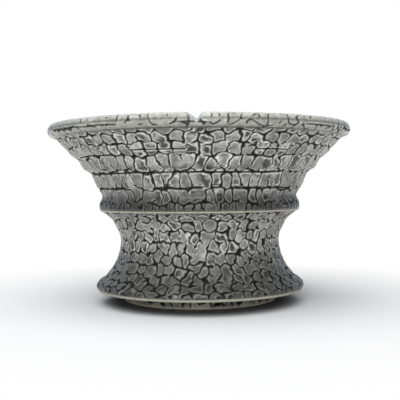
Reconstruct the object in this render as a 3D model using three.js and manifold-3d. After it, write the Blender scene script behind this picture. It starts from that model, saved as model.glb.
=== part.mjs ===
// A thrown stoneware bowl with a flared upper wall, a ridge, a narrow waist and a flanged foot.
// The clay members are luted on flat faces, and the glaze lies over them as thin coats.
// Millimetres, +Z up. The origin is the centre of the foot, on the table. The notch faces -Y.
import * as THREE from "three";
import { mergeVertices } from "three/addons/utils/BufferGeometryUtils.js";
import { ConvexGeometry } from "three/addons/geometries/ConvexGeometry.js";
import Module from "manifold-3d";

const segments = 36;

// Heights of the clay members, from the table up.
const footHeight = 6;
const baseThickness = 5;
const waistHeight = 31.7;
const wallHeight = 33.1;
const lipHeight = 6.2;

// Radii of the finished outside.
const footRadius = 35.4;
const flangeRadius = 48.4;
const waistRadius = 37.1;
const ridgeRadius = 46.8;
const rimRadius = 70;

// Thicknesses.
const footWidth = 6;
const waistThickness = 5.7;
const ridgeThickness = 7.4;
const wallThickness = 4.9;
const coat = 0.7;
const seat = 0.3;
const bareFoot = 1.4;

// The pouring notch in the lip.
const notchDepth = 4.7;
const notchInnerDepth = 2.2;
const notchLeft = 5.4;
const notchRight = 2.9;
const notchCentre = -0.6;

const baseLow = footHeight;
const waistLow = baseLow + baseThickness;
const wallLow = waistLow + waistHeight;
const lipLow = wallLow + wallHeight;
const top = lipLow + lipHeight;
const crease = rimRadius - 3.4;
const wallFoot = ridgeRadius - 0.4;
const waistFoot = flangeRadius - 1.8;

// A point between two radii and two heights, by its share of each.
function between(radiusA, radiusB, lowZ, highZ, shares) {
  return shares.map(([r, z]) => [radiusA + (radiusB - radiusA) * r, lowZ + (highZ - lowZ) * z]);
}

// The flange edge: its share of the way from the waist's foot out to the flange, and of the base's height.
const flangeLine = between(waistFoot, flangeRadius, baseLow, waistLow, [
  [0.56, 0.02],
  [1, 0.3],
  [1, 0.5],
  [0.67, 0.78],
]);

// The concave waist: from the flange in to the narrowest ring, then out to the ridge.
const narrow = waistLow + waistHeight * 0.584;
const waistLine = [
  ...between(waistFoot, waistRadius, waistLow, narrow, [
    [0, 0],
    [0.24, 0.08],
    [0.39, 0.17],
    [0.6, 0.31],
    [0.77, 0.47],
    [0.9, 0.64],
    [0.98, 0.84],
  ]),
  ...between(waistRadius, wallFoot, narrow, wallLow, [
    [0, 0],
    [0.09, 0.25],
    [0.24, 0.46],
    [0.42, 0.69],
    [0.77, 0.9],
  ]),
];

// The flared wall with the throwing steps that its outline shows.
const recess = ridgeRadius - 1.4;
const wallLine = [
  [wallFoot, wallLow],
  [ridgeRadius, wallLow + wallHeight * 0.05],
  [ridgeRadius - 0.3, wallLow + wallHeight * 0.12],
  ...between(recess, crease, wallLow + wallHeight * 0.19, lipLow, [
    [0, 0],
    [0.02, 0.06],
    [0.1, 0.16],
    [0.16, 0.26],
    [0.2, 0.34],
    [0.27, 0.42],
    [0.39, 0.48],
    [0.46, 0.56],
    [0.51, 0.63],
    [0.61, 0.69],
    [0.7, 0.75],
    [0.75, 0.81],
    [0.85, 0.88],
    [0.91, 0.94],
  ]),
];

// The rolled lip, from the crease under it over the top to its inner edge.
const lipInner = rimRadius - 7;
const lipLine = [
  [crease, lipLow],
  [rimRadius - 1.3, lipLow + lipHeight * 0.14],
  [rimRadius - 0.2, lipLow + lipHeight * 0.34],
  [rimRadius, lipLow + lipHeight * 0.52],
  [rimRadius - 0.4, lipLow + lipHeight * 0.76],
  [rimRadius - 1.5, lipLow + lipHeight * 0.95],
  [rimRadius - 2.8, top],
  [rimRadius - 4.6, lipLow + lipHeight * 0.95],
  [rimRadius - 6, lipLow + lipHeight * 0.78],
  [lipInner, lipLow + lipHeight * 0.48],
];

// The inside, from the lip's inner edge down to the centre of the floor.
const floorHeight = waistLow + coat + seat;
const insideNarrow = waistRadius - waistThickness;
const insideRidge = ridgeRadius - ridgeThickness;
const insideCrease = crease - wallThickness * 1.28;
const insideLine = [
  [insideCrease, lipLow + lipHeight * 0.06],
  ...between(insideRidge, insideCrease, wallLow, lipLow, [
    [0.8, 0.9],
    [0.56, 0.75],
    [0.31, 0.58],
    [0.15, 0.41],
    [0.05, 0.24],
    [0, 0.08],
  ]),
  ...between(insideNarrow, insideRidge, waistLow, wallLow, [
    [0.72, 0.94],
    [0.23, 0.79],
    [0, 0.58],
    [0.02, 0.41],
    [0.07, 0.27],
  ]),
  [insideNarrow, floorHeight + 4.2],
  [insideNarrow - 2.2, floorHeight + 1.2],
  [insideNarrow - 7.4, floorHeight],
];

// Each point of an open line moved to the left of its travel, square to the line.
function offset(line, distance) {
  return line.map((point, i) => {
    const before = line[Math.max(i - 1, 0)];
    const after = line[Math.min(i + 1, line.length - 1)];
    const inward = new THREE.Vector2(before[1] - after[1], after[0] - before[0]).normalize();
    return [point[0] + inward.x * distance, point[1] + inward.y * distance];
  });
}

const finished = [...flangeLine, ...waistLine, ...wallLine.slice(1), ...lipLine.slice(1), ...insideLine];
const glazeBack = offset(finished, coat);
const clayFace = offset(finished, coat + seat);

// The clay's own face, parted at its highest point into an outer and an inner line, both rising.
const peak = clayFace.reduce((best, point, i) => (point[1] > clayFace[best][1] ? i : best), 0);
const clayOutside = clayFace.slice(0, peak + 1);
const clayInside = clayFace.slice(peak).reverse();

function radiusAt(line, height) {
  const next = line.findIndex((point) => point[1] >= height);
  if (next <= 0) return line[Math.max(next, 0)][0];
  const [lowR, lowZ] = line[next - 1];
  const [highR, highZ] = line[next];
  return lowR + ((highR - lowR) * (height - lowZ)) / (highZ - lowZ);
}

// The part of a rising line between two heights, with a point at each of them.
function rise(line, lowZ, highZ) {
  const inner = line.filter((point) => point[1] > lowZ + 0.05 && point[1] < highZ - 0.05);
  return [[radiusAt(line, lowZ), lowZ], ...inner, [radiusAt(line, highZ), highZ]];
}

function turned(profile) {
  const points = profile.map(([r, z]) => new THREE.Vector2(r, z));
  if (profile[0][0] > 0) points.push(points[0].clone());
  return new THREE.LatheGeometry(points, segments).rotateX(Math.PI / 2);
}

// The closed profile of a clay wall between two heights.
function clayWall(lowZ, highZ) {
  return [...rise(clayOutside, lowZ, highZ), ...rise(clayInside, lowZ, highZ).reverse()];
}

// The closed profile of a coat that covers the finished surface between two of its points.
function coatOver(first, last) {
  return [...finished.slice(first, last + 1), ...glazeBack.slice(first, last + 1).reverse()];
}

const wasm = await Module();
wasm.setup();

function solid(geometry) {
  const bare = geometry.clone();
  bare.deleteAttribute("normal");
  bare.deleteAttribute("uv");
  const merged = mergeVertices(bare, 1e-4);
  return new wasm.Manifold(
    new wasm.Mesh({
      numProp: 3,
      vertProperties: new Float32Array(merged.attributes.position.array),
      triVerts: new Uint32Array(merged.index.array),
    }),
  );
}

function geometryOf(body) {
  const mesh = body.getMesh();
  const geometry = new THREE.BufferGeometry();
  geometry.setAttribute("position", new THREE.BufferAttribute(mesh.vertProperties, 3));
  geometry.setIndex(new THREE.BufferAttribute(mesh.triVerts, 1));
  geometry.computeVertexNormals();
  return geometry;
}

// The wedge that the notch takes out of the lip. A drop lowers it, so that the clay clears the glaze.
function notchWedge(drop) {
  const above = top + 4;
  const slope = (notchDepth - notchInnerDepth) / (rimRadius - lipInner);
  const ends = [rimRadius + 4, lipInner - 6].flatMap((reach) => {
    const apex = top - notchDepth + slope * (rimRadius - reach) - drop;
    const spread = (above - apex) / notchDepth;
    return [
      new THREE.Vector3(notchCentre, -reach, apex),
      new THREE.Vector3(notchCentre - notchLeft * spread, -reach, above),
      new THREE.Vector3(notchCentre + notchRight * spread, -reach, above),
    ];
  });
  return new ConvexGeometry(ends);
}

function notched(profile, drop) {
  return geometryOf(solid(turned(profile)).subtract(solid(notchWedge(drop))));
}

const bowl = new THREE.Group();

function add(name, geometry, color, roughness) {
  const material = new THREE.MeshStandardMaterial({ color, roughness, metalness: 0 });
  const mesh = new THREE.Mesh(geometry, material);
  mesh.name = name;
  bowl.add(mesh);
}

// Clay members.
const clayColor = 0x2b2a26;
const footOuter = footRadius - coat - seat;
const footInner = footOuter - footWidth;
add(
  "foot_ring",
  turned([
    [footOuter, 0],
    [footOuter, footHeight],
    [footInner, footHeight],
    [footInner, 0],
  ]),
  clayColor,
  0.85,
);
const flangeClay = clayFace.slice(1, flangeLine.length);
add(
  "base_disc",
  turned([
    [0, baseLow],
    [flangeClay[0][0] - 0.6, baseLow],
    ...flangeClay,
    [radiusAt(clayOutside, waistLow), waistLow],
    [0, waistLow],
  ]),
  clayColor,
  0.85,
);
add("waist_wall", turned(clayWall(waistLow, wallLow)), clayColor, 0.85);
add("upper_wall", turned(clayWall(wallLow, lipLow)), clayColor, 0.85);
const rimProfile = [
  [radiusAt(clayOutside, lipLow), lipLow],
  ...clayOutside.filter((point) => point[1] > lipLow + 0.05),
  ...clayInside.filter((point) => point[1] > lipLow + 0.05).reverse().slice(1),
  [radiusAt(clayInside, lipLow), lipLow],
];
const clayDrop = 1.6;
add("rim_band", notched(rimProfile, clayDrop), clayColor, 0.85);

// Glaze coats, each ending at a throwing line.
const crackedColor = 0x9a9b94;
const smoothColor = 0x5f6158;
const flangeEnd = flangeLine.length;
const ridgeStart = flangeLine.length + waistLine.length;
const stepLines = [0, 5, 9, 13];
const lipStart = ridgeStart + wallLine.length - 1;
const lipEnd = lipStart + lipLine.length - 2;
add(
  "foot_glaze",
  turned([
    [footRadius, bareFoot],
    [footRadius, footHeight - seat],
    [footRadius - coat, footHeight - seat],
    [footRadius - coat, bareFoot],
  ]),
  smoothColor,
  0.35,
);
add("flange_glaze", turned(coatOver(0, flangeEnd)), crackedColor, 0.4);

// A coat's end is drawn back along its own line, so that two coats meet without touching.
function drawnBack(profile, count) {
  const back = profile.map((point) => [...point]);
  const step = (a, b) => {
    const reach = Math.hypot(b[0] - a[0], b[1] - a[1]);
    return [((b[0] - a[0]) / reach) * seat, ((b[1] - a[1]) / reach) * seat];
  };
  const outer = step(back[0], back[1]);
  const last = back.length - 1;
  back[0] = [back[0][0] + outer[0], back[0][1] + outer[1]];
  back[last] = [back[last][0] + outer[0], back[last][1] + outer[1]];
  return back.slice(0, count);
}

function follower(first, last) {
  const profile = coatOver(first, last);
  return turned(drawnBack(profile, profile.length));
}

add("waist_glaze", follower(flangeEnd, ridgeStart), crackedColor, 0.4);
stepLines.forEach((start, i) => {
  const first = ridgeStart + start;
  const last = i + 1 < stepLines.length ? ridgeStart + stepLines[i + 1] : lipStart;
  add(`wall_glaze_${i + 1}`, follower(first, last), crackedColor, 0.4);
});
const lipProfile = coatOver(lipStart, lipEnd);
add("lip_glaze", notched(drawnBack(lipProfile, lipProfile.length), 0), smoothColor, 0.3);
const linerFace = [...finished.slice(lipEnd), [0, floorHeight]];
const linerBack = [...glazeBack.slice(lipEnd, -1), [insideNarrow - 7.4, floorHeight - coat], [0, floorHeight - coat]];
const liner = drawnBack([...linerFace, ...linerBack.reverse()], linerFace.length + linerBack.length);
const centre = linerFace.length;
add("liner_glaze", turned([...liner.slice(centre), ...liner.slice(0, centre)]), smoothColor, 0.25);

export default bowl;
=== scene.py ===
import math
import bpy
import numpy as np
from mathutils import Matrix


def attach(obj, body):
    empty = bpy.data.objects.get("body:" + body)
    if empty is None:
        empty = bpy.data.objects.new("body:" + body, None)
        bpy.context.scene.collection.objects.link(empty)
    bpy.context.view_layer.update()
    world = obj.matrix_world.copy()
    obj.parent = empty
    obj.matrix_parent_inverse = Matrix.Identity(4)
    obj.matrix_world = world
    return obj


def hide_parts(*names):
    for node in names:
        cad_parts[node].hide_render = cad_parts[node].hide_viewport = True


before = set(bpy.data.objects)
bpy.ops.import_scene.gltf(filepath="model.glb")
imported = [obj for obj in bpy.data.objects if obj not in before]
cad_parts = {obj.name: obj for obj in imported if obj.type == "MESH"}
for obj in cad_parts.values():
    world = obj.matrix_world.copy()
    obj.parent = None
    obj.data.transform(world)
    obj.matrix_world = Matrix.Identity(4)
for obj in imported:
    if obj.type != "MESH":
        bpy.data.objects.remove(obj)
bpy.context.preferences.edit.use_global_undo = False
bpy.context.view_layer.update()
print("frame loaded")

# finished surface in mm, radius and height
profiles = {
    "flange": [(47.6, 6.1), (48.4, 7.5), (48.4, 8.5), (47.8, 9.9), (46.6, 11.0)],
    "waist": [(46.6, 11.0), (44.3, 12.48), (42.9, 14.15), (40.9, 16.74), (39.28, 19.7), (38.05, 22.85), (37.29, 26.55),
              (37.1, 29.51), (37.94, 32.81), (39.33, 35.58), (41.0, 38.61), (44.26, 41.38), (46.4, 42.7)],
    "wall": [(46.4, 42.7), (46.8, 44.36), (46.5, 46.67), (45.4, 48.99), (45.82, 50.6), (47.52, 53.28), (48.79, 55.96),
             (49.64, 58.1), (51.12, 60.25), (53.67, 61.86), (55.15, 64.0), (56.21, 65.88), (58.33, 67.48),
             (60.24, 69.09), (61.3, 70.7), (63.42, 72.58), (64.69, 74.19), (66.6, 75.8)],
    "lip": [(66.6, 75.8), (68.7, 76.67), (69.7, 77.91), (69.9, 79.02), (69.5, 80.51), (68.5, 81.69), (67.2, 81.95),
            (65.4, 81.69), (64.0, 80.64), (63.05, 78.8)],
    "liner": [(63.05, 78.8), (60.33, 76.17), (56.13, 72.49), (51.0, 67.53), (46.0, 61.9), (42.4, 56.27), (40.46, 50.64),
              (39.4, 45.35), (37.36, 40.8), (33.24, 36.04), (31.4, 29.39), (31.56, 24.0), (31.9, 19.6), (31.4, 16.2),
              (29.2, 13.2), (24.0, 12.03), (12.0, 12.0), (0.0, 12.0)],
    "foot": [(35.4, 1.4), (35.4, 5.7)],
}


def smoothLine(points, spacing):
    # a smooth curve through the points, with even steps along it
    pts = np.array(points, float)
    ends = np.vstack([2 * pts[0] - pts[1], pts, 2 * pts[-1] - pts[-2]])
    fine = []
    for a, b, c, d in zip(ends[:-3], ends[1:-2], ends[2:-1], ends[3:]):
        for t in np.arange(0, 1, 0.05):
            fine.append(0.5 * (2 * b + (c - a) * t + (2 * a - 5 * b + 4 * c - d) * t * t
                               + (3 * b - a - 3 * c + d) * t ** 3))
    fine = np.array(fine + [pts[-1]])
    reach = np.concatenate([[0], np.cumsum(np.linalg.norm(np.diff(fine, axis=0), axis=1))])
    along = np.linspace(0, reach[-1], max(3, int(round(reach[-1] / spacing)) + 1))
    return np.column_stack([np.interp(along, reach, fine[:, 0]), np.interp(along, reach, fine[:, 1])]), along


def outward(line):
    step = np.gradient(line, axis=0)
    step /= np.linalg.norm(step, axis=1)[:, None]
    return np.column_stack([step[:, 1], -step[:, 0]])


def cutLine(name, low, high):
    # the part of a profile between two of its points, and where it starts along the whole
    line, along = smoothLine(profiles[name], 0.05)
    marks = [int(np.argmin(np.hypot(line[:, 0] - p[0], line[:, 1] - p[1]))) for p in profiles[name]]
    first, last = marks[low], marks[high]
    return line[first:last + 1], along[first]


def evenly(line, spacing):
    reach = np.concatenate([[0], np.cumsum(np.linalg.norm(np.diff(line, axis=0), axis=1))])
    along = np.linspace(0, reach[-1], max(3, int(round(reach[-1] / spacing)) + 1))
    return np.column_stack([np.interp(along, reach, line[:, 0]), np.interp(along, reach, line[:, 1])]), along


def spinCoat(name, line, columns, spacing, thickness, start=0.0):
    # a thin closed coat: its profile is extruded point by point, then spun round Z
    line, along = evenly(line, spacing)
    normal = outward(line)
    back = (line - normal * thickness)[::-4]
    backAlong = along[::-4]
    if (len(line) - 1) % 4:
        back = np.vstack([back, (line - normal * thickness)[0]])
        backAlong = np.append(backAlong, along[0])
    ring = np.vstack([line, back])
    bpy.ops.object.select_all(action="DESELECT")
    bpy.ops.mesh.primitive_plane_add(size=0.001, location=(0, 0, 0))
    piece = bpy.context.active_object
    piece.name = name
    piece.data.name = name
    bpy.ops.object.mode_set(mode="EDIT")
    bpy.ops.mesh.select_all(action="SELECT")
    bpy.ops.mesh.merge(type="CENTER")
    bpy.ops.transform.translate(value=(ring[0][0] / 1000, 0, ring[0][1] / 1000))
    for a, b in zip(ring[:-1], ring[1:]):
        bpy.ops.mesh.extrude_region_move(
            TRANSFORM_OT_translate={"value": ((b[0] - a[0]) / 1000, 0, (b[1] - a[1]) / 1000)})
    bpy.ops.object.mode_set(mode="OBJECT")
    mesh = piece.data
    mesh.edges.add(1)
    mesh.edges[-1].vertices = (len(ring) - 1, 0)
    put(mesh, "along", np.concatenate([along, backAlong]) + start)
    put(mesh, "face", np.concatenate([np.ones(len(line)), np.zeros(len(back))]))
    put(mesh, "outR", np.concatenate([normal[:, 0], np.zeros(len(back))]))
    put(mesh, "outZ", np.concatenate([normal[:, 1], np.zeros(len(back))]))
    bpy.ops.object.modifier_add(type="SCREW")
    turn = piece.modifiers[-1]
    turn.axis = "Z"
    turn.steps = turn.render_steps = columns
    turn.use_merge_vertices = True
    turn.merge_threshold = 0.00001
    bpy.ops.object.modifier_apply(modifier=turn.name)
    bpy.ops.object.mode_set(mode="EDIT")
    bpy.ops.mesh.select_all(action="SELECT")
    bpy.ops.mesh.remove_doubles(threshold=0.00001)
    bpy.ops.mesh.delete_loose(use_verts=True, use_edges=True, use_faces=False)
    bpy.ops.mesh.select_all(action="SELECT")
    bpy.ops.mesh.normals_make_consistent(inside=False)
    bpy.ops.object.mode_set(mode="OBJECT")
    bpy.ops.object.shade_smooth()
    return piece


def put(mesh, key, values):
    if key not in mesh.attributes:
        mesh.attributes.new(key, "FLOAT", "POINT")
    mesh.attributes[key].data.foreach_set("value", np.asarray(values, float))


def get(mesh, key):
    values = np.empty(len(mesh.vertices))
    mesh.attributes[key].data.foreach_get("value", values)
    return values


def points(mesh):
    co = np.empty(len(mesh.vertices) * 3)
    mesh.vertices.foreach_get("co", co)
    return co.reshape(-1, 3)


def move(mesh, co):
    mesh.vertices.foreach_set("co", co.ravel())
    mesh.update()


def ramp(x, low, high):
    t = np.clip((x - low) / (high - low), 0, 1)
    return t * t * (3 - 2 * t)


def ripple(angle, v, seed, rounds, waves, terms=10):
    # smooth noise that closes on itself round the bowl
    rng = np.random.default_rng(seed)
    total = np.zeros_like(angle)
    for _ in range(terms):
        m = rng.integers(rounds[0], rounds[1]) * rng.choice([-1, 1])
        k = rng.uniform(waves[0], waves[1])
        total += np.sin(m * angle + k * v + rng.uniform(0, 2 * math.pi))
    return total / math.sqrt(terms)


def hashed(a, b):
    low, high = np.minimum(a, b).astype(np.int64), np.maximum(a, b).astype(np.int64)
    mixed = (low * 73856093) ^ (high * 19349663) ^ ((low + high) * 83492791)
    mixed = (mixed ^ (mixed >> 13)) * 1274126177
    return ((mixed >> 7) & 0xFFFF) / 65536.0


# the crawled glaze: rows of islands, from the bottom up, as height and width of an island in mm
islands = {
    "waist": {"seed": 5, "base": -5.4, "radius": 40.0, "jitter": 0.34, "merge": 0.05, "dead": 0.14, "warp": 0.5, "curl": 0.28,
              "depth": 0.6, "crack": 0.1, "scores": [],
              "rows": [(4.6, 4.4), (4.2, 4.8), (4.6, 5.0), (4.6, 5.0), (4.8, 4.8), (4.9, 4.9), (4.8, 4.9), (4.8, 5.0), (4.4, 5.2),
                       (3.4, 5.8)]},
    "wall": {"seed": 9, "base": 0.0, "radius": 55.0, "jitter": 0.23, "merge": 0.05, "dead": 0.15, "warp": 0.38, "curl": 0.26,
             "depth": 0.6, "crack": 0.09, "scores": [(10.8, 0.3), (18.1, 0.2), (28.4, -0.1), (31.0, -0.6)],
             "rows": [(2.8, 4.3), (8.0, 4.4), (7.2, 4.8), (10.4, 5.0), (5.8, 5.2), (5.6, 5.0), (4.0, 5.5)]},
    "lip": {"seed": 14, "base": 0.0, "radius": 69.0, "jitter": 0.36, "merge": 0.2, "dead": 0.5, "warp": 0.5, "curl": 0.2,
            "depth": 0.22, "crack": 0.02, "scores": [(3.9, 0.3)],
            "rows": [(3.9, 6.5), (3.2, 4.0), (9.0, 9.0)]},
    "foot": {"seed": 21, "base": 0.0, "radius": 35.4, "jitter": 0.4, "merge": 0.1, "dead": 0.2, "warp": 0.6, "curl": 0.4,
             "depth": 0.45, "crack": 0.3, "scores": [], "rows": [(2.4, 4.6), (2.4, 6.4)]},
}


def crawl(angle, v, spec):
    # distance to the nearest crack in mm, with merged islands and cracks that die out
    rng = np.random.default_rng(spec["seed"])
    radius = spec["radius"]
    turn = 2 * math.pi * radius
    edges = spec["base"] + np.concatenate([[0], np.cumsum([h for h, _ in spec["rows"]])])
    rows = []
    number = 0
    for i, (height, width) in enumerate(spec["rows"]):
        count = int(round(turn / width))
        shift = rng.uniform(0, 1)
        x = (np.arange(count) + shift + rng.uniform(-1, 1, count) * spec["jitter"]) * turn / count
        y = edges[i] + height * (0.5 + rng.uniform(-1, 1, count) * spec["jitter"] * 0.8)
        rows.append((count, shift, x, y, number))
        number += count
    warp = spec["warp"]
    u = angle * radius + warp * ripple(angle, v, spec["seed"] + 1, (12, 50), (-1.0, 1.0))
    y = v + warp * ripple(angle, v, spec["seed"] + 2, (12, 50), (-1.0, 1.0))
    u = u + spec["curl"] * ripple(angle, v, spec["seed"] + 8, (40, 95), (-2.0, 2.0))
    y = y + spec["curl"] * ripple(angle, v, spec["seed"] + 9, (40, 95), (-2.0, 2.0))
    home = np.clip(np.searchsorted(edges, y) - 1, 0, len(rows) - 1)
    apart, across, up, names = [], [], [], []
    rowCounts, rowShifts, rowFirsts = (np.array([q[i] for q in rows]) for i in (0, 1, 4))
    allX, allY = np.concatenate([q[2] for q in rows]), np.concatenate([q[3] for q in rows])
    for dr in (-2, -1, 0, 1, 2):
        r = home + dr
        live = (r >= 0) & (r < len(rows))
        rr = np.clip(r, 0, len(rows) - 1)
        counts, shifts, firsts = rowCounts[rr], rowShifts[rr], rowFirsts[rr]
        base = np.floor(u / turn * counts - shifts + 0.5).astype(int)
        for dc in (-2, -1, 0, 1, 2):
            column = base + dc
            index = firsts + np.mod(column, counts)
            dx = u - (allX[index] + np.floor(column / counts) * turn)
            dy = y - allY[index]
            apart.append(np.where(live, dx * dx + dy * dy, 1e6))
            across.append(dx)
            up.append(dy)
            names.append(index)
    apart, across, up, names = (np.array(q) for q in (apart, across, up, names))
    nearest = np.argmin(apart, axis=0)
    pick = np.arange(len(u))
    d0, x0, y0, n0 = apart[nearest, pick], across[nearest, pick], up[nearest, pick], names[nearest, pick]
    gap = np.hypot(across - x0, up - y0)
    border = np.where((gap > 1e-6) & (apart < 1e5), (apart - d0) / (2 * np.maximum(gap, 1e-6)), 50.0)
    chance = hashed(n0[None, :].repeat(len(names), 0), names)
    joined = chance < spec["merge"]
    dying = (chance >= spec["merge"]) & (chance < spec["merge"] + spec["dead"])
    side = np.sign(chance - spec["merge"] - spec["dead"] / 2)
    lengthwise = (across * (y0 - up) - up * (x0 - across)) / np.maximum(gap, 1e-6)
    order = np.where(names > n0, 1, -1)
    fade = ramp(lengthwise * side * order, -0.6, 1.0)
    border = np.where(joined, 50.0, border + np.where(dying, fade * 3.0, 0.0))
    # scored throwing lines, broken here and there
    for k, (place, keep) in enumerate(spec["scores"]):
        broken = ramp(ripple(angle, v * 0, spec["seed"] + 20 + k, (1, 9), (0, 0.1)), keep, keep + 0.35)
        border = np.vstack([border, np.abs(v - place - 0.15 * ripple(angle, v * 0, 40 + k, (3, 30), (0, 0.1)))
                            + 3.0 * broken])
    sharp = 4.0
    low = border.min(axis=0)
    soft = low - np.log(np.exp(-sharp * (border - low)).sum(axis=0)) / sharp
    return np.clip(soft, 0, 3.5), n0


relief = {
    "shoulder": 0.72,
    "hollow": 0.3,
    "wave": 0.1,
}


def raiseIslands(piece, kind, plainEdge):
    # gives the coat its islands, and keeps what the material needs as attributes
    mesh = piece.data
    co = points(mesh)
    face, v = get(mesh, "face"), get(mesh, "along")
    level = (v if kind == "lip" else co[:, 2] * 1000) / 100
    outR, outZ = get(mesh, "outR"), get(mesh, "outZ")
    angle = np.arctan2(co[:, 1], co[:, 0])
    spec = islands[kind]
    wide = spec["crack"] * (1 + 0.7 * ripple(angle, v, spec["seed"] + 3, (8, 30), (-0.8, 0.8)))
    near, island = crawl(angle, v, spec)
    inside = near - np.maximum(wide, 0.02)
    height = np.sin(np.clip(inside / relief["shoulder"], 0, 1) * math.pi / 2)
    own = hashed(island, island + 7)
    plain = plainEdge(v)
    height = np.maximum(height, plain)
    mottle = ripple(angle, v, spec["seed"] + 5, (40, 130), (-2.8, 2.8), 14)
    pit = ramp(own, 0.4, 0.65) * ramp(inside + 0.3 * mottle, 0.7, 1.3)
    hollow = ramp(inside + 0.16 * mottle, 0.5, 1.05) * (0.65 + 0.35 * own) * (1 - plain)
    hollow = np.maximum(hollow, pit * (1 - plain))
    bump = ripple(angle, v, spec["seed"] + 4, (60, 160), (-3.2, 3.2), 14)
    lift = -spec["depth"] * (1 - height) - relief["hollow"] * hollow * spec["depth"] + relief["wave"] * 0.5 * bump * height - 0.08
    lift = np.minimum(lift, 0.0) * face
    radial = np.column_stack([np.cos(angle), np.sin(angle)])
    co[:, :2] += radial * (outR * lift / 1000)[:, None]
    co[:, 2] += outZ * lift / 1000
    move(mesh, co)
    put(mesh, "rise", height * face)
    put(mesh, "level", level)
    put(mesh, "hollow", hollow)
    put(mesh, "own", own)


def nodes(material):
    material.use_nodes = True
    tree = material.node_tree
    tree.nodes.clear()
    made = {}

    def node(kind, name, **values):
        made[name] = tree.nodes.new(kind)
        made[name].name = name
        for key, value in values.items():
            setattr(made[name], key, value)
        return made[name]

    def link(a, b):
        tree.links.new(a, b)

    return tree, node, link


def colorRamp(ramp, stops):
    while len(ramp.elements) > 1:
        ramp.elements.remove(ramp.elements[-1])
    ramp.elements[0].position = stops[0][0]
    ramp.elements[0].color = (*stops[0][1], 1)
    for place, color in stops[1:]:
        ramp.elements.new(place).color = (*color, 1)


crackles = {
    "wall": {
        "crackColor": (0.004, 0.004, 0.0035),
        "edgeColor": (0.06, 0.06, 0.052),
        "rimColor": (0.67, 0.675, 0.64),
        "centreColor": (0.05, 0.051, 0.044),
        "linePale": (0.42, 0.4, 0.32),
        "tones": (0.62, 1.12),
        "speckSize": 900.0,
        "roughness": 0.18,
        # painted shade: darker on the flange and lower waist under the overhang, and in the recess just above the ridge
        "paintedShade": [(6.0, 0.24), (14.0, 0.3), (22.0, 0.5), (30.0, 0.85), (41.5, 0.9), (43.4, 0.17), (46.3, 0.2),
                  (49.0, 0.36), (51.0, 0.7), (60.0, 1.0), (76.0, 1.0)],
        "lines": [(6.0, 0.75), (6.9, 0.75), (7.3, 0.0), (42.2, 0.0), (42.45, 0.85), (42.95, 0.85), (43.2, 0.0)],
    },
    "lip": {
        "crackColor": (0.01, 0.01, 0.008),
        "edgeColor": (0.1, 0.1, 0.085),
        "rimColor": (0.54, 0.545, 0.5),
        "centreColor": (0.31, 0.315, 0.28),
        "linePale": (0.42, 0.4, 0.32),
        "tones": (0.8, 1.1),
        "speckSize": 500.0,
        "roughness": 0.12,
        # painted shade in the undercut below the lip's roll, and a painted dark line along the roll
        "paintedShade": [(0.0, 0.1), (0.6, 0.3), (1.5, 0.8), (4.9, 0.8), (5.3, 0.35), (5.7, 0.45), (6.4, 1.0), (9.0, 1.0),
                  (12.0, 0.8), (15.0, 0.7)],
        "lines": [(0.0, 0.0)],
    },
    "foot": {
        "crackColor": (0.003, 0.003, 0.0025),
        "edgeColor": (0.03, 0.03, 0.025),
        "rimColor": (0.32, 0.32, 0.27),
        "centreColor": (0.1, 0.1, 0.08),
        "linePale": (0.4, 0.38, 0.3),
        "tones": (0.35, 1.1),
        "speckSize": 500.0,
        "roughness": 0.3,
        "paintedShade": [(0.0, 1.0)],
        "lines": [(1.4, 0.7), (1.8, 0.7), (2.1, 0.0)],
    },
}


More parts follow.
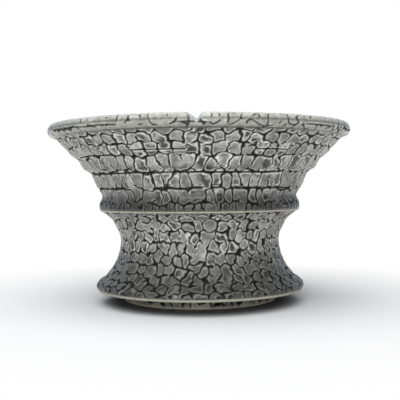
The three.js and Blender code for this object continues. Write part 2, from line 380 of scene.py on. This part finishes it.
def crackleMaterial(name, crackle):
    material = bpy.data.materials.new(name)
    tree, node, link = nodes(material)
    out = node("ShaderNodeOutputMaterial", "out")
    shader = node("ShaderNodeBsdfPrincipled", "shader")
    link(shader.outputs[0], out.inputs["Surface"])
    place = node("ShaderNodeTexCoord", "place")
    rise = node("ShaderNodeAttribute", "rise", attribute_name="rise")
    hollow = node("ShaderNodeAttribute", "hollow", attribute_name="hollow")
    own = node("ShaderNodeAttribute", "own", attribute_name="own")
    grain = node("ShaderNodeTexNoise", "grain")
    grain.inputs["Scale"].default_value = crackle["speckSize"]
    grain.inputs["Detail"].default_value = 5.0
    grain.inputs["Roughness"].default_value = 0.65
    link(place.outputs["Object"], grain.inputs["Vector"])
    cloud = node("ShaderNodeTexNoise", "cloud")
    cloud.inputs["Scale"].default_value = 210.0
    cloud.inputs["Detail"].default_value = 3.0
    link(place.outputs["Object"], cloud.inputs["Vector"])
    fromCrack = node("ShaderNodeValToRGB", "fromCrack")
    colorRamp(fromCrack.color_ramp, [(0.0, crackle["crackColor"]), (0.42, crackle["edgeColor"]),
                                     (0.85, tuple(c * 0.7 for c in crackle["rimColor"])), (1.0, crackle["rimColor"])])
    link(rise.outputs["Fac"], fromCrack.inputs["Fac"])
    # island centres are darker, some with dark pits
    depth = node("ShaderNodeMath", "depth", operation="MULTIPLY")
    cloudy = node("ShaderNodeMapRange", "cloudy")
    cloudy.inputs["From Min"].default_value = 0.38
    cloudy.inputs["From Max"].default_value = 0.58
    cloudy.inputs["To Min"].default_value = 0.55
    link(cloud.outputs["Fac"], cloudy.inputs["Value"])
    link(hollow.outputs["Fac"], depth.inputs[0])
    link(cloudy.outputs["Result"], depth.inputs[1])
    centre = node("ShaderNodeMix", "centre", data_type="RGBA")
    centre.inputs["B"].default_value = (*crackle["centreColor"], 1)
    link(depth.outputs[0], centre.inputs["Factor"])
    link(fromCrack.outputs["Color"], centre.inputs["A"])
    # each island has its own tone, with fine grain over it
    tone = node("ShaderNodeMapRange", "tone")
    tone.inputs["To Min"].default_value = crackle["tones"][0]
    tone.inputs["To Max"].default_value = crackle["tones"][1]
    link(own.outputs["Fac"], tone.inputs["Value"])
    speck = node("ShaderNodeMapRange", "speck")
    speck.inputs["From Min"].default_value = 0.25
    speck.inputs["From Max"].default_value = 0.75
    speck.inputs["To Min"].default_value = 0.62
    speck.inputs["To Max"].default_value = 1.3
    link(grain.outputs["Fac"], speck.inputs["Value"])
    both = node("ShaderNodeMath", "both", operation="MULTIPLY")
    link(tone.outputs["Result"], both.inputs[0])
    link(speck.outputs["Result"], both.inputs[1])
    shade = node("ShaderNodeMix", "shade", data_type="RGBA", blend_type="MULTIPLY")
    shade.inputs["Factor"].default_value = 1.0
    link(centre.outputs["Result"], shade.inputs["A"])
    link(both.outputs[0], shade.inputs["B"])
    # painted shade: darker towards the foot, just above the ridge and under the lip's roll, with a pale line on both
    # edges
    level = node("ShaderNodeAttribute", "level", attribute_name="level")
    fall = node("ShaderNodeValToRGB", "fall")
    colorRamp(fall.color_ramp, [(z / 100, (f, f, f)) for z, f in crackle["paintedShade"]])
    link(level.outputs["Fac"], fall.inputs["Fac"])
    fallen = node("ShaderNodeMix", "fallen", data_type="RGBA", blend_type="MULTIPLY")
    fallen.inputs["Factor"].default_value = 1.0
    link(shade.outputs["Result"], fallen.inputs["A"])
    link(fall.outputs["Color"], fallen.inputs["B"])
    lines = node("ShaderNodeValToRGB", "lines")
    colorRamp(lines.color_ramp, [(z / 100, (f, f, f)) for z, f in crackle["lines"]])
    link(level.outputs["Fac"], lines.inputs["Fac"])
    edged = node("ShaderNodeMix", "edged", data_type="RGBA")
    edged.inputs["B"].default_value = (*crackle["linePale"], 1)
    link(lines.outputs["Color"], edged.inputs["Factor"])
    link(fallen.outputs["Result"], edged.inputs["A"])
    link(edged.outputs["Result"], shader.inputs["Base Color"])
    rough = node("ShaderNodeMapRange", "rough")
    rough.inputs["To Min"].default_value = 0.9
    rough.inputs["To Max"].default_value = crackle["roughness"]
    link(rise.outputs["Fac"], rough.inputs["Value"])
    link(rough.outputs["Result"], shader.inputs["Roughness"])
    shader.inputs["Specular IOR Level"].default_value = 0.28
    bump = node("ShaderNodeBump", "bump")
    bump.inputs["Strength"].default_value = 0.35
    bump.inputs["Distance"].default_value = 0.0002
    link(grain.outputs["Fac"], bump.inputs["Height"])
    link(bump.outputs[0], shader.inputs["Normal"])
    return material


def glazeMaterial(name, dark, pale, roughness, streak, bands):
    # smooth glaze with faint vertical streaks and specks
    material = bpy.data.materials.new(name)
    tree, node, link = nodes(material)
    out = node("ShaderNodeOutputMaterial", "out")
    shader = node("ShaderNodeBsdfPrincipled", "shader")
    link(shader.outputs[0], out.inputs["Surface"])
    place = node("ShaderNodeTexCoord", "place")
    stretch = node("ShaderNodeMapping", "stretch")
    stretch.inputs["Scale"].default_value = (1.0, 1.0, 0.3)
    link(place.outputs["Object"], stretch.inputs["Vector"])
    flow = node("ShaderNodeTexNoise", "flow")
    flow.inputs["Scale"].default_value = streak
    flow.inputs["Detail"].default_value = 6.0
    flow.inputs["Roughness"].default_value = 0.6
    link(stretch.outputs[0], flow.inputs["Vector"])
    specks = node("ShaderNodeTexNoise", "specks")
    specks.inputs["Scale"].default_value = 1100.0
    specks.inputs["Detail"].default_value = 3.0
    link(place.outputs["Object"], specks.inputs["Vector"])
    colors = node("ShaderNodeValToRGB", "colors")
    colorRamp(colors.color_ramp, [(0.3, dark), (0.7, pale)])
    link(flow.outputs["Fac"], colors.inputs["Fac"])
    spot = node("ShaderNodeMapRange", "spot")
    spot.inputs["From Min"].default_value = 0.3
    spot.inputs["From Max"].default_value = 0.5
    spot.inputs["To Min"].default_value = 0.45
    link(specks.outputs["Fac"], spot.inputs["Value"])
    shade = node("ShaderNodeMix", "shade", data_type="RGBA", blend_type="MULTIPLY")
    shade.inputs["Factor"].default_value = 1.0
    link(colors.outputs["Color"], shade.inputs["A"])
    link(spot.outputs["Result"], shade.inputs["B"])
    split = node("ShaderNodeSeparateXYZ", "split")
    link(place.outputs["Object"], split.inputs[0])
    level = node("ShaderNodeMath", "level", operation="MULTIPLY")
    level.inputs[1].default_value = 10.0
    link(split.outputs["Z"], level.inputs[0])
    band = node("ShaderNodeValToRGB", "band")
    colorRamp(band.color_ramp, [(z / 100, (f, f, f)) for z, f in bands])
    link(level.outputs[0], band.inputs["Fac"])
    banded = node("ShaderNodeMix", "banded", data_type="RGBA", blend_type="MULTIPLY")
    banded.inputs["Factor"].default_value = 1.0
    link(shade.outputs["Result"], banded.inputs["A"])
    link(band.outputs["Color"], banded.inputs["B"])
    link(banded.outputs["Result"], shader.inputs["Base Color"])
    shader.inputs["Roughness"].default_value = roughness
    bump = node("ShaderNodeBump", "bump")
    bump.inputs["Strength"].default_value = 0.2
    bump.inputs["Distance"].default_value = 0.0003
    link(flow.outputs["Fac"], bump.inputs["Height"])
    link(bump.outputs[0], shader.inputs["Normal"])
    return material


def dress(piece, node, material):
    piece.data.materials.clear()
    piece.data.materials.append(material)
    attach(piece, "root")
    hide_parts(node)
    print(node, len(piece.data.polygons), "faces")


wallMaterial = crackleMaterial("wall crackle", crackles["wall"])
lipMaterial = crackleMaterial("lip glaze", crackles["lip"])
footMaterial = crackleMaterial("foot crackle", crackles["foot"])
linerMaterial = glazeMaterial("liner glaze", (0.15, 0.155, 0.13), (0.23, 0.235, 0.205), 0.18, 90.0, [(0.0, 1.0)])

# waist
line, start = cutLine("waist", 0, 12)
waist = spinCoat("waistCoat", line, 720, 0.36, 0.85, start)
raiseIslands(waist, "waist", lambda v: ramp(v, v.max() - 0.75, v.max() - 0.4))
dress(waist, "waist_glaze", wallMaterial)

# wall, in four bands that share one run of islands
bands = {"wall_glaze_1": (0, 5), "wall_glaze_2": (5, 9), "wall_glaze_3": (9, 13), "wall_glaze_4": (13, 17)}
for nodeName, (low, high) in bands.items():
    line, start = cutLine("wall", low, high)
    band = spinCoat("coat" + nodeName[-1], line, 1000, 0.34, 0.85, start)
    raiseIslands(band, "wall", lambda v: 1 - ramp(v, 0.35, 0.7))
    dress(band, nodeName, wallMaterial)

# flange edge
line, start = cutLine("flange", 0, 4)
flange = spinCoat("flangeCoat", line, 800, 0.36, 0.85, -5.4)
raiseIslands(flange, "waist", lambda v: 1 - ramp(v, -4.4, -4.0))
dress(flange, "flange_glaze", wallMaterial)

# foot coat
foot = spinCoat("footCoat", np.array(profiles["foot"]), 640, 0.33, 0.85)
raiseIslands(foot, "foot", lambda v: 1 - ramp(v, 0.3, 0.6))
dress(foot, "foot_glaze", footMaterial)

# lip with its notch
notch = {"depth": 4.7, "innerDepth": 2.2, "left": 5.4, "right": 2.9, "centre": -0.6, "outer": 70.0, "inner": 63.0}
line, start = cutLine("lip", 0, 9)
lip = spinCoat("lipCoat", line, 1100, 0.36, 0.85)
raiseIslands(lip, "lip", lambda v: ramp(v, 7.0, 8.0))
mesh = lip.data
co = points(mesh) * 1000
r = np.hypot(co[:, 0], co[:, 1])
floorZ = 82.0 - notch["depth"] + (notch["outer"] - r) * (notch["depth"] - notch["innerDepth"]) / (notch["outer"] - notch["inner"])
side = co[:, 0] - notch["centre"]
flank = floorZ + np.where(side < 0, -side / notch["left"], side / notch["right"]) * notch["depth"]
flank = np.where(co[:, 1] < 0, flank, 1e3) - np.where(get(mesh, "face") > 0.5, 0, 0.85)
cut = co[:, 2] > flank
co[:, 2] = np.where(cut, flank, co[:, 2])
move(mesh, co / 1000)
dress(lip, "lip_glaze", lipMaterial)

# liner
line, start = cutLine("liner", 0, 17)
liner = spinCoat("linerCoat", line, 360, 0.7, 0.62)
dress(liner, "liner_glaze", linerMaterial)

# bare clay in the gaps and under the foot
clay = bpy.data.materials.new("stoneware")
tree, node, link = nodes(clay)
out = node("ShaderNodeOutputMaterial", "out")
shader = node("ShaderNodeBsdfPrincipled", "shader")
link(shader.outputs[0], out.inputs["Surface"])
place = node("ShaderNodeTexCoord", "place")
grit = node("ShaderNodeTexNoise", "grit")
grit.inputs["Scale"].default_value = 700.0
grit.inputs["Detail"].default_value = 6.0
link(place.outputs["Object"], grit.inputs["Vector"])
tones = node("ShaderNodeValToRGB", "tones")
colorRamp(tones.color_ramp, [(0.3, (0.012, 0.011, 0.009)), (0.7, (0.05, 0.046, 0.038))])
link(grit.outputs["Fac"], tones.inputs["Fac"])
link(tones.outputs["Color"], shader.inputs["Base Color"])
shader.inputs["Roughness"].default_value = 0.85
bump = node("ShaderNodeBump", "bump")
bump.inputs["Distance"].default_value = 0.0003
bump.inputs["Strength"].default_value = 0.5
link(grit.outputs["Fac"], bump.inputs["Height"])
link(bump.outputs[0], shader.inputs["Normal"])
for nodeName in ("foot_ring", "base_disc", "waist_wall", "upper_wall", "rim_band"):
    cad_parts[nodeName].data.materials.clear()
    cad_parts[nodeName].data.materials.append(clay)
print("clay dressed")

# studio
studio = {
    "floorColor": (0.93, 0.935, 0.95),
    "floorFade": (0.055, 0.17),
    "contact": (0.036, 0.052, 0.18),
    "behindLight": (0.13, 0.135, 0.145),
    "behindShine": (0.55, 0.6, 0.68),
    "cameraSideLight": (0.2, 0.2, 0.2),
    "topPower": 7.5,
    "frontPower": 13.0,
}
bpy.ops.object.select_all(action="DESELECT")
bpy.ops.mesh.primitive_plane_add(size=6.0, location=(0, 0, -0.00002))
floor = bpy.context.active_object
floor.name = "floor"
pale = bpy.data.materials.new("pale floor")
tree, node, link = nodes(pale)
out = node("ShaderNodeOutputMaterial", "out")
shader = node("ShaderNodeBsdfPrincipled", "shader")
shader.inputs["Roughness"].default_value = 0.9
shader.inputs["Specular IOR Level"].default_value = 0.1
place = node("ShaderNodeTexCoord", "place")
away = node("ShaderNodeVectorMath", "away", operation="LENGTH")
link(place.outputs["Object"], away.inputs[0])
# painted contact shadow: the floor's colour is darker round the foot, where little light reaches
contact = node("ShaderNodeMapRange", "contact", interpolation_type="SMOOTHSTEP")
contact.inputs["From Min"].default_value = studio["contact"][0]
contact.inputs["From Max"].default_value = studio["contact"][1]
contact.inputs["To Min"].default_value = studio["contact"][2]
link(away.outputs["Value"], contact.inputs["Value"])
tint = node("ShaderNodeMix", "tint", data_type="RGBA", blend_type="MULTIPLY")
tint.inputs["Factor"].default_value = 1.0
tint.inputs["A"].default_value = (*studio["floorColor"], 1)
link(contact.outputs["Result"], tint.inputs["B"])
link(tint.outputs["Result"], shader.inputs["Base Color"])
fade = node("ShaderNodeMapRange", "fade")
fade.inputs["From Min"].default_value = studio["floorFade"][0]
fade.inputs["From Max"].default_value = studio["floorFade"][1]
link(away.outputs["Value"], fade.inputs["Value"])
white = node("ShaderNodeEmission", "white")
blend = node("ShaderNodeMixShader", "blend")
link(fade.outputs["Result"], blend.inputs[0])
link(shader.outputs[0], blend.inputs[1])
link(white.outputs[0], blend.inputs[2])
link(blend.outputs[0], out.inputs["Surface"])
floor.data.materials.append(pale)

world = bpy.data.worlds.new("studio")
bpy.context.scene.world = world
world.use_nodes = True
tree = world.node_tree
tree.nodes.clear()
out = tree.nodes.new("ShaderNodeOutputWorld")
back = tree.nodes.new("ShaderNodeBackground")
rays = tree.nodes.new("ShaderNodeLightPath")
mix = tree.nodes.new("ShaderNodeMix")
mix.data_type = "RGBA"
ways = tree.nodes.new("ShaderNodeTexCoord")
parts = tree.nodes.new("ShaderNodeSeparateXYZ")
tree.links.new(ways.outputs["Generated"], parts.inputs[0])
turnTo = tree.nodes.new("ShaderNodeMapRange")
turnTo.inputs["From Min"].default_value = -0.5
turnTo.inputs["From Max"].default_value = 0.5
tree.links.new(parts.outputs["Y"], turnTo.inputs["Value"])
around = tree.nodes.new("ShaderNodeMix")
around.data_type = "RGBA"
around.inputs["A"].default_value = (*studio["cameraSideLight"], 1)
shine = tree.nodes.new("ShaderNodeMix")
shine.data_type = "RGBA"
shine.inputs["A"].default_value = (*studio["behindLight"], 1)
shine.inputs["B"].default_value = (*studio["behindShine"], 1)
tree.links.new(rays.outputs["Is Glossy Ray"], shine.inputs["Factor"])
tree.links.new(shine.outputs["Result"], around.inputs["B"])
tree.links.new(turnTo.outputs["Result"], around.inputs["Factor"])
tree.links.new(around.outputs["Result"], mix.inputs["A"])
mix.inputs["B"].default_value = (1, 1, 1, 1)
tree.links.new(rays.outputs["Is Camera Ray"], mix.inputs["Factor"])
tree.links.new(mix.outputs["Result"], back.inputs["Color"])
back.inputs["Strength"].default_value = 1.0
tree.links.new(back.outputs[0], out.inputs["Surface"])


def softbox(name, place, aim, size, power):
    bpy.ops.object.light_add(type="AREA", location=place)
    lamp = bpy.context.active_object
    lamp.name = name
    lamp.data.size = size
    lamp.data.energy = power
    away = np.array(place) - np.array(aim)
    pitch = math.acos(away[2] / np.linalg.norm(away))
    lamp.rotation_euler = (pitch, 0, math.atan2(away[0], -away[1]))
    return lamp


softbox("top box", (-0.15, -0.25, 0.9), (0, 0, 0.04), 1.2, studio["topPower"])
softbox("front box", (-0.05, -1.1, 0.3), (0, 0, 0.05), 0.9, studio["frontPower"])

# camera, fitted to the rim and foot in the photograph
shot = {"distance": 0.3486, "height": 0.05317, "pitch": 0.97, "roll": 0.5, "side": 0.00033, "lens": 66.6}
bpy.ops.object.camera_add(location=(shot["side"], -shot["distance"], shot["height"]))
camera = bpy.context.active_object
camera.rotation_mode = "XYZ"
camera.rotation_euler = (math.radians(90 - shot["pitch"]), math.radians(shot["roll"]), 0)
camera.data.lens = shot["lens"]
camera.data.sensor_width = 36
camera.data.clip_start = 0.01
bpy.context.scene.camera = camera
bpy.context.scene.view_settings.view_transform = "Standard"
